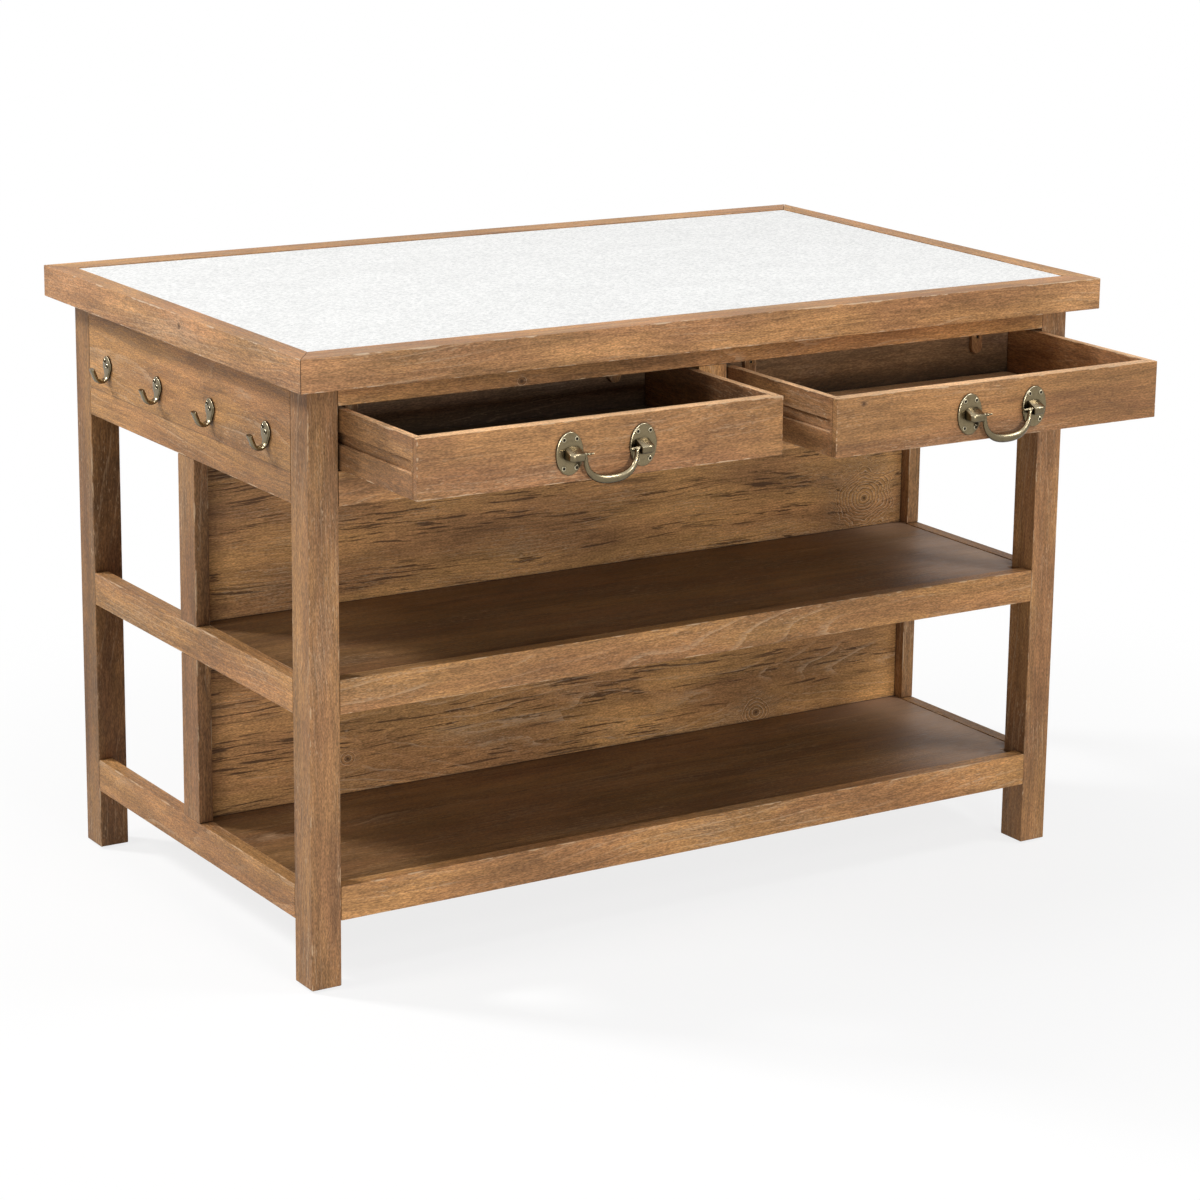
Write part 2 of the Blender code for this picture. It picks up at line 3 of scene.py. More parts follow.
import math
import random

import bmesh
import bpy
from mathutils import Matrix, Vector


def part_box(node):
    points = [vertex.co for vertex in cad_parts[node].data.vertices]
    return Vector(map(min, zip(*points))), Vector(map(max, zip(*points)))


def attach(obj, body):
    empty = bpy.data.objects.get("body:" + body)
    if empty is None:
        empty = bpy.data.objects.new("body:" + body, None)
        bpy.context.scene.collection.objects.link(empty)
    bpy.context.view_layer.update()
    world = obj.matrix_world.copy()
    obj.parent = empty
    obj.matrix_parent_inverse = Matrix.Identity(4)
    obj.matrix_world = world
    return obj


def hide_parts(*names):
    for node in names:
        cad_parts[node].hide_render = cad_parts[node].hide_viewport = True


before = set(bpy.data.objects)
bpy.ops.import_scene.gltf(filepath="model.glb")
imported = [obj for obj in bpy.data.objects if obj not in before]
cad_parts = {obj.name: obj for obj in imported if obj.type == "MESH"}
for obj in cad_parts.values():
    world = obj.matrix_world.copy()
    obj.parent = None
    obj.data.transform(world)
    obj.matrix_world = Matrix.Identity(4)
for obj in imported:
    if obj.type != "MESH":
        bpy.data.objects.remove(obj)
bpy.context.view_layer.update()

# Camera, worked out from the corners of the worktop, legs and rails
IMAGE = 1200
SENSOR = 36.0
FOCAL_PIXELS = 3476.0
CENTRE_PIXEL = (690.0, 525.0)
CAMERA_PLACE = (-2.7661, -4.36125, 1.8141)
CAMERA_AZIMUTH = math.radians(33.647)
CAMERA_DROP = math.radians(13.799)
CAMERA_ROLL = math.radians(1.044)

# Lamps: degrees to the right of the front, degrees up, distance, size, and the level at which
# a card of reflectance 1 facing the lamp alone renders
LAMPS = (
    ("left_back", -136.0, 38.0, 9.0, 1.3, 0.77),
    ("left_side", -92.0, 42.0, 7.0, 1.5, 0.25),
    ("right_front", 45.0, 48.0, 4.0, 0.9, 0.28),
    ("front_low", -7.0, 8.0, 5.0, 0.5, 0.36),
    ("front_high", 0.0, 30.0, 5.0, 0.9, 0.14),
)
LAMP_AIM = Vector((0.0, 0.1, 0.5))
AMBIENT = 0.15

# Floor: from where to where its shadow fades, and how much of it is glow close by
FLOOR_RADIUS = 30.0
FLOOR_COLOUR = (0.86, 0.86, 0.86)
FLOOR_FADE = (0.6, 1.9)
FLOOR_GLOW_NEAR = 0.80

# Eased edges and the room between boards, in metres
EASE = 0.0011
EASE_LEG = 0.0016
EASE_FINE = 0.0007
EASE_POINTS = 5
CORNER = math.radians(25)
FIT = 0.0003
STONE_RECESS = 0.0016
MITRE_GAP = 0.0006

# Screws; heads, mouths and sockets are in pairs of share of their radius and share of the rise
SCREW_RADIUS = 0.0036
SCREW_HOLE = 0.0020
SCREW_RISE = 0.0010
SCREW_SIDES = 16
SCREW_HEAD = ((1.0, -0.4), (1.0, 0.5), (0.85, 1.0))
SCREW_MOUTH = ((1.1, 1.0), (1.0, 0.7), (1.0, 0.2))
SCREW_SOCKET = ((0.98, 0.2), (0.98, 0.45), (0.4, 0.35))

# Handles; a plate's edge is in pairs of inset and height, a nib in pairs of reach and radius
PLATE_THICKNESS = 0.003
PLATE_SCREW_X = 0.0100
PLATE_SCREW_Z = 0.0197
PLATE_EDGE = (
    (0.0022, 0.0), (0.0018, 0.0009), (0.0002, 0.0010), (0.0, 0.0014),
    (0.0, 0.0021), (0.0005, 0.0027), (0.0013, 0.0030), (0.0024, 0.0030),
)
PLATE_SIDES = 56
BOSS_OUTER = 0.009
BOSS_INNER = 0.013
BOSS_DEPTH = 0.018
BOSS_RISE = 0.010
BOSS_BROW = 0.003
BOSS_FALL = 0.009
BOSS_ROUND = 0.004
BOSS_BROW_TURN = math.radians(72)
BOSS_SHOULDER = 0.008
BOSS_TAPER = 0.60
BOSS_LIP = 0.95
BOSS_STEPS = 8
BOSS_ROUND_POINTS = 7
HANDLE_SPACING = 0.1175
BAIL_DROP = 0.0375
GRIP_RADIUS = 0.0064
ARM_RADIUS = 0.0033
PIN_RADIUS = 0.0028
PIN_LENGTH = 0.0116
SHOULDER = 0.0045
SHOULDER_STEPS = 6
ARM_ROOM = 0.001
GRIP_STEPS = 60
GRIP_SIDES = 20
GRIP_SQUARE = 0.8
GRIP_START = 1.6
NIB_SIDES = 12
NIB = (
    (-0.003, 0.0020), (0.0, 0.0026), (0.0022, 0.0026), (0.0030, 0.0017), (0.0050, 0.0015),
    (0.0058, 0.0021), (0.0070, 0.0021), (0.0078, 0.0014), (0.0120, 0.0012), (0.0130, 0.0017),
    (0.0134, 0.0010),
)

# Hooks; a leaf is in pairs of share of its length and width, a prong's tip adds the thickness
LEAF_LENGTH = 0.0275
LEAF_THICK = 0.0035
LEAF = (
    (0.000, 0.0036), (0.025, 0.0080), (0.06, 0.0112), (0.10, 0.0146), (0.15, 0.0178), (0.21, 0.0209),
    (0.29, 0.0239), (0.38, 0.0259), (0.47, 0.0268), (0.56, 0.0270), (0.66, 0.0263), (0.76, 0.0246),
    (0.86, 0.0220), (0.94, 0.0188), (1.00, 0.0162),
)
BEND_RADIUS = 0.0100
BEND = math.radians(158)
BEND_STEPS = 14
PRONG_WIDTH = 0.0105
PRONG_THICK = 0.0068
PRONG_LENGTH = 0.0150
PRONG_TIP = (
    (0.35, 0.0105, 0.0068), (0.70, 0.0116, 0.0066), (0.93, 0.0134, 0.0064), (1.0, 0.0129, 0.0056),
)
HOOK_SQUARE = 0.65
HOOK_SIDES = 20
HOOK_SCREW_RADIUS = 0.0033
HOOK_SCREW_HOLE = 0.0026
HOOK_SCREWS = ((0.0042, 0.0075), (-0.0036, 0.0145))

# Drawers
STOP_LENGTH = 0.052
STOP_WIDTH = 0.020
STOP_TILT = math.radians(40)
STOP_END_POINTS = 13
GROOVE_DEPTH = 0.006
GROOVE_ABOVE = 0.0003
GROOVE_BELOW = 0.0017
GROOVE_START = 0.005

# Shelves and glides
NOTCH_ROOM = 0.008
GLIDE_SIDES = 32

# Wood colours, linear
WALNUT = (0.060, 0.027, 0.011)
STRAW = (0.55, 0.38, 0.23)
# Bare wood on top edges, and painted light on upward faces such as a drawer's floor
BARE_AND_LIT = (0.62, 0.37, 0.19)
PALE = (0.64, 0.49, 0.34)
# Painted light and sheen for the lit far end of a shelf
LIT_END_COLOUR = (0.46, 0.31, 0.21)

# Grain: how far it wanders and shivers sideways, and how the second strip of a glued board differs
WANDER = (0.0, 0.045, 0.045)
SHIVER = (0.0, 0.004, 0.004)
STRIP_SEED = (2.3, 1.7, 0.9)
STRIP_PITH = (0.0, 0.03, 0.04)

# Boards: how far aside and how deep the pith may lie, how much it may lean, and how tones may differ
PITH_ASIDE = 0.09
PITH_DEPTH = (0.05, 0.12)
LEAN_ACROSS = 0.02
LEAN_THROUGH = 0.06
TONE_RANGE = (0.95, 1.05)

# How the stain shifts a board's colour from place to place
GOLD = (1.12, 1.11, 1.01)
RUST = (0.90, 0.84, 0.84)
ASH = (0.86, 1.02, 1.40)

# Legs painted lighter at the front and darker at the back, a painted fall-off of the light from the left;
# the front low rail darker than its wood; and the glue line of the aprons above their low edge
LEG_LIGHT_FALLOFF = (("front", 1.1), ("back", 0.8))
LOW_RAIL_TONE = 0.85
APRON_SEAM = 0.043

# Knots: width as a share of the length, rise, spacing and strength of the rings, size of the dark heart
KNOT_SHAPE = 0.85
KNOT_RISE = 0.6
KNOT_SPACING = 0.0062
KNOT_RINGS = 0.62
KNOT_LINES = 0.50
KNOT_HEART = 0.007
NO_KNOT = (-9.0, -9.0, 0.02)

# Knots of each board: from its low end, from its low edge, and half the knot's length
KNOTS = {
    "top_border_left": ((0.374, 0.0316, 0.012),),
    "front_top_rail": ((0.289, 0.0071, 0.010),),
    "upper_panel": ((1.195, 0.049, 0.082),),
    "lower_panel": ((0.988, 0.014, 0.04), (0.235, 0.055, 0.02)),
    "right_drawer_front": ((0.046, 0.0735, 0.006),),
}

# How far painted shade reaches out of the corners of the wood, and tarnish out of the corners of the brass
CORNER_SHADE_REACH = 0.008
TARNISH_REACH = 0.009

# The way faces point that get a painted highlight on brass; faces turned away get painted shade
SHEEN_FACING = (-0.42, -0.64, 0.64)


class Graph:
    """A material's nodes, with short calls for the ones used here."""

    def __init__(self, name):
        self.material = bpy.data.materials.new(name)
        self.material.use_nodes = True
        self.nodes = self.material.node_tree.nodes
        self.links = self.material.node_tree.links
        self.shader = self.nodes["Principled BSDF"]

    def put(self, socket, value):
        """Links a socket, or sets a plain value."""
        if isinstance(value, bpy.types.NodeSocket):
            self.links.new(value, socket)
        elif socket.type == "RGBA":
            socket.default_value = (*value, 1.0)
        else:
            socket.default_value = value

    def attribute(self, name, output="Vector"):
        node = self.nodes.new("ShaderNodeAttribute")
        node.attribute_name = name
        return node.outputs[output]

    def math(self, operation, first, second=0.0):
        node = self.nodes.new("ShaderNodeMath")
        node.operation = operation
        self.put(node.inputs[0], first)
        self.put(node.inputs[1], second)
        return node.outputs[0]

    def vector(self, operation, first, second):
        node = self.nodes.new("ShaderNodeVectorMath")
        node.operation = operation
        self.put(node.inputs[0], first)
        self.put(node.inputs[1], second)
        return node.outputs[0]

    def split(self, vector):
        node = self.nodes.new("ShaderNodeSeparateXYZ")
        self.put(node.inputs[0], vector)
        return node.outputs[0], node.outputs[1], node.outputs[2]

    def noise(self, vector, stretch, detail=2.0, roughness=0.5, output="Fac"):
        node = self.nodes.new("ShaderNodeTexNoise")
        node.inputs["Scale"].default_value = 1.0
        node.inputs["Detail"].default_value = detail
        node.inputs["Roughness"].default_value = roughness
        self.put(node.inputs["Vector"], self.vector("MULTIPLY", vector, stretch))
        return node.outputs[output]

    def ramp(self, value, low, high, bottom=0.0, top=1.0):
        """Goes smoothly from bottom to top while value goes from low to high."""
        node = self.nodes.new("ShaderNodeMapRange")
        node.interpolation_type = "SMOOTHSTEP"
        self.put(node.inputs["Value"], value)
        node.inputs["From Min"].default_value = low
        node.inputs["From Max"].default_value = high
        node.inputs["To Min"].default_value = bottom
        node.inputs["To Max"].default_value = top
        return node.outputs[0]

    def mix(self, factor, first, second):
        node = self.nodes.new("ShaderNodeMixRGB")
        self.put(node.inputs["Fac"], factor)
        self.put(node.inputs["Color1"], first)
        self.put(node.inputs["Color2"], second)
        return node.outputs["Color"]

    def shade(self, colour, value):
        """A colour times a grey value."""
        node = self.nodes.new("ShaderNodeVectorMath")
        node.operation = "SCALE"
        self.put(node.inputs[0], colour)
        self.put(node.inputs["Scale"], value)
        return node.outputs[0]

    def openness(self, reach, samples):
        """1 in the open, less in corners."""
        node = self.nodes.new("ShaderNodeAmbientOcclusion")
        node.inputs["Distance"].default_value = reach
        node.samples = samples
        return node.outputs["AO"]

    def bump(self, height, distance, strength):
        node = self.nodes.new("ShaderNodeBump")
        node.inputs["Strength"].default_value = strength
        node.inputs["Distance"].default_value = distance
        self.put(node.inputs["Height"], height)
        self.links.new(node.outputs[0], self.shader.inputs["Normal"])

    def times(self, *values):
        """The product of several values."""
        product = values[0]
        for value in values[1:]:
            product = self.math("MULTIPLY", product, value)
        return product


def knots_in(g, place):
    """Round a board's two knots: the rise of the rings, their own rings, where they show, their hearts."""
    lift = 0.0
    own = 0.0
    near = 0.0
    heart = 0.0
    uneven = g.ramp(g.noise(place, (22.0, 34.0, 34.0)), 0.30, 0.70, 0.88, 1.12)
    for name in ("knot_a", "knot_b"):
        knot = g.attribute(name)
        off_along, off_across, unused = g.split(g.vector("SUBTRACT", place, knot))
        unused, unused, reach = g.split(knot)
        wide = g.math("DIVIDE", off_across, KNOT_SHAPE)
        distance = g.math("SQRT", g.math("ADD", g.times(off_along, off_along), g.times(wide, wide)))
        distance = g.times(distance, uneven)
        share = g.math("DIVIDE", distance, reach)
        swell = g.math("EXPONENT", g.times(share, -1.0))
        lift = g.math("ADD", g.times(swell, reach, KNOT_RISE), lift)
        here = g.ramp(share, 0.7, 1.5, 1.0, 0.0)
        own = g.math("ADD", g.times(here, g.math("DIVIDE", distance, KNOT_SPACING)), own)
        near = g.math("MAXIMUM", here, near)
        heart = g.math("MAXIMUM", g.ramp(distance, 0.0, KNOT_HEART, 1.0, 0.0), heart)
    return lift, own, near, heart


def wood(name, base, rings=0.25, lines=0.45, streaks=0.25, clear=0.46, flecks=0.40, wear=0.70,
         worn=STRAW, lit_end=0.0, foot_shade=1.0, spacing=0.008, roughness=0.55, gloss=0.25, bare_top=None):
    """Stained wood, solid all through: rings, wandering grain, dark dashes, limed lines, worn edges,
    painted shade in corners.

    Streaks gather where a noise is over clear, the far end is painted lighter by its share, a painted pool
    of light and sheen, and the low edge is painted darker, to the foot's factor times as bright, a painted
    shade.
    Upward faces take the top colour where one is given: bare wood on top edges, and painted light on a
    drawer's floor.
    """
    g = Graph(name)
    place = g.attribute("place")
    along, height, unused = g.split(place)
    seam = g.math("SUBTRACT", height, g.attribute("seam", "Fac"))
    second = g.math("GREATER_THAN", seam, 0.0)
    spot = g.vector("ADD", place, g.attribute("seed"))
    spot = g.vector("ADD", spot, g.shade(STRIP_SEED, second))
    pith = g.vector("ADD", g.attribute("pith"), g.shade(g.attribute("lean"), along))
    pith = g.vector("ADD", pith, g.shade(STRIP_PITH, second))
    lift, own, near, heart = knots_in(g, place)

    drift = g.noise(spot, (1.9, 7.0, 7.0), output="Color")
    wander = g.vector("MULTIPLY", g.vector("SUBTRACT", drift, (0.5, 0.5, 0.5)), WANDER)
    ripple = g.noise(spot, (11.0, 40.0, 40.0), output="Color")
    shiver = g.vector("MULTIPLY", g.vector("SUBTRACT", ripple, (0.5, 0.5, 0.5)), SHIVER)
    bend = g.vector("ADD", wander, shiver)
    bent = g.vector("ADD", g.vector("ADD", spot, bend), g.shade((0.0, 0.5, 0.5), lift))
    unused, across, through = g.split(g.vector("ADD", g.vector("SUBTRACT", place, pith), bend))
    radius = g.math("SQRT", g.math("ADD", g.times(across, across), g.times(through, through)))
    count = g.times(g.math("DIVIDE", g.math("ADD", radius, lift), spacing), g.math("SUBTRACT", 1.0, near))
    ring = g.math("FRACT", g.math("ADD", count, own))

    broad = g.noise(spot, (3.0, 9.0, 9.0), detail=3.0)
    stain = g.noise(bent, (3.5, 16.0, 16.0), detail=3.0)
    band = g.noise(bent, (6.0, 60.0, 60.0), detail=3.0)
    patch = g.noise(spot, (6.0, 20.0, 20.0))
    gather = g.noise(bent, (3.0, 26.0, 26.0))
    dash = g.noise(bent, (10.0, 250.0, 250.0), roughness=0.6)
    fibre = g.noise(bent, (45.0, 420.0, 420.0), roughness=0.6)
    grit = g.noise(spot, (210.0, 820.0, 820.0), detail=1.0)
    chalk = g.noise(bent, (85.0, 460.0, 460.0), roughness=0.6)

    colour = g.mix(g.ramp(stain, 0.36, 0.64), GOLD, RUST)
    colour = g.mix(g.ramp(patch, 0.55, 0.75, 0.0, 0.40), colour, ASH)
    colour = g.vector("MULTIPLY", colour, base)
    showing = g.math("ADD", g.ramp(gather, 0.36, 0.62, 0.3 * rings, rings), g.times(near, KNOT_RINGS))
    colour = g.mix(g.times(g.math("POWER", ring, 3.0), showing), colour, WALNUT)
    figure = g.times(
        g.ramp(broad, 0.30, 0.70, 0.80, 1.20), g.ramp(band, 0.30, 0.70, 0.84, 1.16),
        g.ramp(fibre, 0.32, 0.68, 0.80, 1.20), g.ramp(grit, 0.32, 0.68, 0.73, 1.27),
    )
    # The low edge painted darker: a painted shade
    low_edge = g.ramp(height, 0.01, 0.05, foot_shade, 1.0)
    colour = g.shade(colour, g.times(figure, low_edge, g.attribute("tone", "Fac")))
    dashes = g.times(g.ramp(dash, 0.56, 0.61), g.ramp(gather, clear, clear + 0.14))
    colour = g.mix(g.times(dashes, streaks), colour, WALNUT)
    where = g.math("MAXIMUM", g.ramp(patch, 0.42, 0.62, 0.10, 1.0), near)
    fresh = g.times(g.ramp(ring, 0.02, 0.24, 1.0, 0.0), g.math("ADD", g.times(near, KNOT_LINES), lines))
    pale = g.times(fresh, g.ramp(chalk, 0.34, 0.54))
    limed = g.math("MAXIMUM", pale, g.ramp(chalk, 0.61, 0.67, 0.0, flecks))
    colour = g.mix(g.times(limed, where), colour, STRAW)
    colour = g.mix(heart, colour, WALNUT)
    colour = g.mix(g.ramp(g.math("ABSOLUTE", seam), 0.0003, 0.0012, 0.45, 0.0), colour, WALNUT)
    # Upward faces lighter: bare top edges, and painted light on a drawer's floor
    if bare_top:
        facing = g.nodes.new("ShaderNodeNewGeometry").outputs["True Normal"]
        unused, unused, upward = g.split(facing)
        bare_and_lit = g.mix(g.times(dashes, 0.5), g.shade(bare_top, figure), WALNUT)
        colour = g.mix(g.ramp(upward, 0.75, 0.95), colour, bare_and_lit)

    far = g.vector("SUBTRACT", g.attribute("size"), place)
    to_end, unused, unused = g.split(far)
    # The far end painted lighter: a painted pool of light and sheen
    colour = g.mix(g.times(g.ramp(to_end, 0.04, 0.26, lit_end, 0.0), broad), colour, LIT_END_COLOUR)
    near_along, near_across, near_through = g.split(g.vector("MINIMUM", place, far))
    long_edge = g.math("MAXIMUM", near_across, near_through)
    short_edge = g.math("MAXIMUM", near_along, g.math("MINIMUM", near_across, near_through))
    end_edge = g.math("ADD", short_edge, g.attribute("joined", "Fac"))
    edge = g.math("MINIMUM", long_edge, end_edge)
    rub = g.noise(spot, (24.0, 110.0, 110.0), detail=4.0, roughness=0.65)
    bite = g.math("SUBTRACT", edge, g.ramp(rub, 0.42, 0.68, -0.0010, 0.0020))
    colour = g.mix(g.ramp(bite, -0.0003, 0.0006, wear, 0.0), colour, worn)

    # Painted shade: darker in corners, creases and between boards, from ambient occlusion
    corner_shade = g.ramp(g.openness(CORNER_SHADE_REACH, 4), 0.30, 0.85, 0.45, 1.0)
    g.put(g.shader.inputs["Base Color"], g.shade(colour, corner_shade))
    g.put(g.shader.inputs["Roughness"], g.ramp(fibre, 0.2, 0.8, roughness - 0.10, roughness + 0.12))
    g.shader.inputs["Specular IOR Level"].default_value = gloss
    g.bump(g.math("SUBTRACT", g.times(fibre, 0.7), dashes), 0.0005, 0.6)
    return g.material


def stone():
    """White honed stone with fine grey grain and faint clouds."""
    g = Graph("honed_stone")
    place = g.attribute("place")
    speck = g.noise(place, (380.0, 380.0, 380.0), detail=2.0, roughness=0.6)
    crystal = g.noise(place, (170.0, 290.0, 290.0), detail=3.0, roughness=0.65)
    cloud = g.noise(place, (9.0, 16.0, 16.0), detail=4.0, roughness=0.6)
    colour = g.mix(g.ramp(crystal, 0.40, 0.64), (0.910, 0.908, 0.894), (0.690, 0.695, 0.687))
    colour = g.mix(g.ramp(speck, 0.56, 0.68, 0.0, 0.60), colour, (0.50, 0.51, 0.51))
    colour = g.shade(colour, g.ramp(cloud, 0.3, 0.7, 0.975, 1.02))
    g.put(g.shader.inputs["Base Color"], colour)
    g.put(g.shader.inputs["Roughness"], g.ramp(crystal, 0.3, 0.7, 0.52, 0.68))
    g.shader.inputs["Specular IOR Level"].default_value = 0.2
    g.bump(speck, 0.0002, 0.35)
    return g.material


def brass(name, shine=(0.225, 0.178, 0.102), tarnish_and_shade=(0.045, 0.034, 0.019),
          painted_highlight=(0.60, 0.53, 0.38), roughness=0.24):
    """Antique brass: dulled in patches and tarnished in the corners, with painted shade on faces turned
    away from the front-left top, a painted highlight on faces turned to it and a painted reflection on
    faces turned straight back.
    """
    g = Graph(name)
    surface = g.nodes.new("ShaderNodeTexCoord")
    place = surface.outputs["Object"]
    patch = g.noise(place, (110.0, 110.0, 110.0), detail=3.0, roughness=0.6)
    grit = g.noise(place, (1100.0, 1100.0, 1100.0))
    shut_in = g.ramp(g.openness(TARNISH_REACH, 8), 0.45, 0.95, 1.0, 0.0)
    speckle = g.ramp(grit, 0.55, 0.70, 0.0, 0.35)
    dull = g.ramp(patch, 0.45, 0.75, 0.0, 0.35)
    dirt = g.math("MAXIMUM", g.math("MAXIMUM", dull, speckle), shut_in)
    # Painted light by facing: highlight towards the front-left top, shade on faces turned away, reflection
    # on faces turned straight back
    facing = g.nodes.new("ShaderNodeVectorMath")
    facing.operation = "DOT_PRODUCT"
    g.put(facing.inputs[0], surface.outputs["Normal"])
    g.put(facing.inputs[1], SHEEN_FACING)
    toward_sheen = facing.outputs["Value"]
    back_sheen = g.ramp(toward_sheen, -0.95, -0.55, 0.8, 0.0)
    colour = g.mix(g.math("MAXIMUM", g.ramp(toward_sheen, -0.40, 0.50), back_sheen), tarnish_and_shade, shine)
    colour = g.mix(g.ramp(toward_sheen, 0.74, 0.97, 0.0, 0.8), colour, painted_highlight)
    g.put(g.shader.inputs["Base Color"], g.mix(dirt, colour, tarnish_and_shade))
    g.shader.inputs["Metallic"].default_value = 1.0
    g.put(g.shader.inputs["Roughness"], g.ramp(patch, 0.3, 0.7, roughness - 0.04, roughness + 0.08))
    g.bump(grit, 0.00005, 0.3)
    return g.material


def socket_shade():
    """Painted shade for the screws' sockets: near-black, with no shine."""
    g = Graph("screw_socket")
    place = g.nodes.new("ShaderNodeTexCoord").outputs["Object"]
    grit = g.noise(place, (1500.0, 1500.0, 1500.0))
    g.put(g.shader.inputs["Base Color"], g.mix(grit, (0.010, 0.008, 0.006), (0.030, 0.024, 0.018)))
    g.shader.inputs["Roughness"].default_value = 0.7
    g.shader.inputs["Specular IOR Level"].default_value = 0.0
    g.bump(grit, 0.0001, 0.3)
    return g.material


def moulded_plastic():
    """Black glide plastic with a fine moulded grain."""
    g = Graph("glide_plastic")
    place = g.nodes.new("ShaderNodeTexCoord").outputs["Object"]
    grit = g.noise(place, (900.0, 900.0, 900.0), detail=2.0)
    g.put(g.shader.inputs["Base Color"], g.mix(grit, (0.012, 0.012, 0.012), (0.03, 0.029, 0.028)))
    g.shader.inputs["Roughness"].default_value = 0.6
    g.bump(grit, 0.0002, 0.4)
    return g.material


def circle(radius_x, radius_y, sides, start=0.0, sweep=2 * math.pi):
    """Points round an ellipse, or along an arc of it with both its ends."""
    count = sides if sweep == 2 * math.pi else sides - 1
    turns = [start + sweep * k / count for k in range(sides)]
    return [(radius_x * math.cos(turn), radius_y * math.sin(turn)) for turn in turns]


def loft(mesh, rings):
    """Adds a closed body through rings of equal numbers of points."""
    loops = [[mesh.verts.new(point) for point in ring] for ring in rings]
    for first, second in zip(loops, loops[1:]):
        for index in range(len(first)):
            after = (index + 1) % len(first)
            mesh.faces.new((first[index], first[after], second[after], second[index]))
    mesh.faces.new(loops[0][::-1])
    mesh.faces.new(loops[-1])
    return mesh


def prism(outline, axis, low, high):
    """An outline pushed along an axis; the outline gives the other two coordinates in order."""
    rings = []
    for level in (low, high):
        ring = []
        for pair in outline:
            point = list(pair)
            point.insert("XYZ".index(axis), level)
            ring.append(point)
        rings.append(ring)
    return loft(bmesh.new(), rings)


def block(low, high):
    """A box between two corners."""
    outline = [(low[0], low[1]), (high[0], low[1]), (high[0], high[1]), (low[0], high[1])]
    return prism(outline, "Z", low[2], high[2])


def ease(mesh, width, segments=3):
    """Rounds every edge that turns a corner."""
    bmesh.ops.recalc_face_normals(mesh, faces=mesh.faces)
    corners = [edge for edge in mesh.edges if edge.calc_face_angle(0.0) > CORNER]
    bmesh.ops.bevel(mesh, geom=corners, offset=width, segments=segments, profile=0.5, affect="EDGES",
                    clamp_overlap=True)
    return mesh


def as_object(name, mesh):
    """Turns a mesh being built into an object in the scene."""
    bmesh.ops.recalc_face_normals(mesh, faces=mesh.faces)
    data = bpy.data.meshes.new(name)
    mesh.to_mesh(data)
    mesh.free()
    item = bpy.data.objects.new(name, data)
    bpy.context.scene.collection.objects.link(item)
    return item


def carve(mesh, cutter):
    """Takes one closed body out of another."""
    carved = as_object("carved", mesh)
    tool = as_object("tool", cutter)
    modifier = carved.modifiers.new("cut", "BOOLEAN")
    modifier.operation = "DIFFERENCE"
    modifier.solver = "EXACT"
    modifier.object = tool
    result = bmesh.new()
    result.from_object(carved, bpy.context.evaluated_depsgraph_get())
    for item in (carved, tool):
        data = item.data
        bpy.data.objects.remove(item)
        bpy.data.meshes.remove(data)
    return result


def piece(name, mesh, material, body, nodes=(), smooth_angle=40, flat_faces=False):
    """Makes a mesh a piece that rides on a body and stands for some solids."""
    item = as_object(name, mesh)
    item.data.materials.append(material)
    item.data.shade_smooth()
    item.data.set_sharp_from_angle(angle=math.radians(smooth_angle))
    if flat_faces:
        modifier = item.modifiers.new("flat_faces", "WEIGHTED_NORMAL")
        modifier.weight = 100
        modifier.keep_sharp = True
    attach(item, body)
    if nodes:
        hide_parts(*nodes)
    return item


def lay_grain(item, axis, joined=False, knots=(), seam=-1.0, tone=1.0):
    """Writes where each point lies in its board, and what the wood needs to know of the board.

    Joined ends run into another board. A seam, this far from the low edge, is where two strips are glued.
    """
    data = item.data
    draw = random.Random(item.name)
    points = [vertex.co.copy() for vertex in data.vertices]
    low = [min(point[k] for point in points) for k in range(3)]
    high = [max(point[k] for point in points) for k in range(3)]
    along = "XYZ".index(axis)
    across, through = [k for k in (0, 1, 2) if k != along]
    if high[across] - low[across] < high[through] - low[through]:
        across, through = through, across
    order = (along, across, through)
    size = [high[k] - low[k] for k in order]
    seed = [draw.uniform(0.0, 9.0) for k in order]
    pith = [0.0, size[1] / 2 + draw.uniform(-PITH_ASIDE, PITH_ASIDE)]
    pith.append(draw.choice((-1, 1)) * draw.uniform(*PITH_DEPTH))
    lean = [0.0, draw.uniform(-LEAN_ACROSS, LEAN_ACROSS), draw.uniform(-LEAN_THROUGH, LEAN_THROUGH)]
    first_knot, second_knot = (*knots, NO_KNOT, NO_KNOT)[:2]
    same = {
        "size": size, "seed": seed, "pith": pith, "lean": lean,
        "knot_a": first_knot, "knot_b": second_knot,
    }
    places = [point[k] - low[k] for point in points for k in order]
    data.attributes.new("place", "FLOAT_VECTOR", "POINT").data.foreach_set("vector", places)
    for name, value in same.items():
        layer = data.attributes.new(name, "FLOAT_VECTOR", "POINT")
        layer.data.foreach_set("vector", list(value) * len(points))
    tone *= draw.uniform(*TONE_RANGE)
    for name, value in (("tone", tone), ("joined", float(joined)), ("seam", seam)):
        layer = data.attributes.new(name, "FLOAT", "POINT")
        layer.data.foreach_set("value", [value] * len(points))
    return item


def board(node, axis, material, body="island", width=EASE, mesh=None, joined=True,
          seam=-1.0, tone=1.0):
    """A board with eased edges in the place of a solid."""
    low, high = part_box(node)
    if mesh is None:
        mesh = block(low, high)
    item = piece(f"{node}_board", ease(mesh, width), material, body, (node,), flat_faces=True)
    return lay_grain(item, axis, joined, KNOTS.get(node, ()), seam, tone)


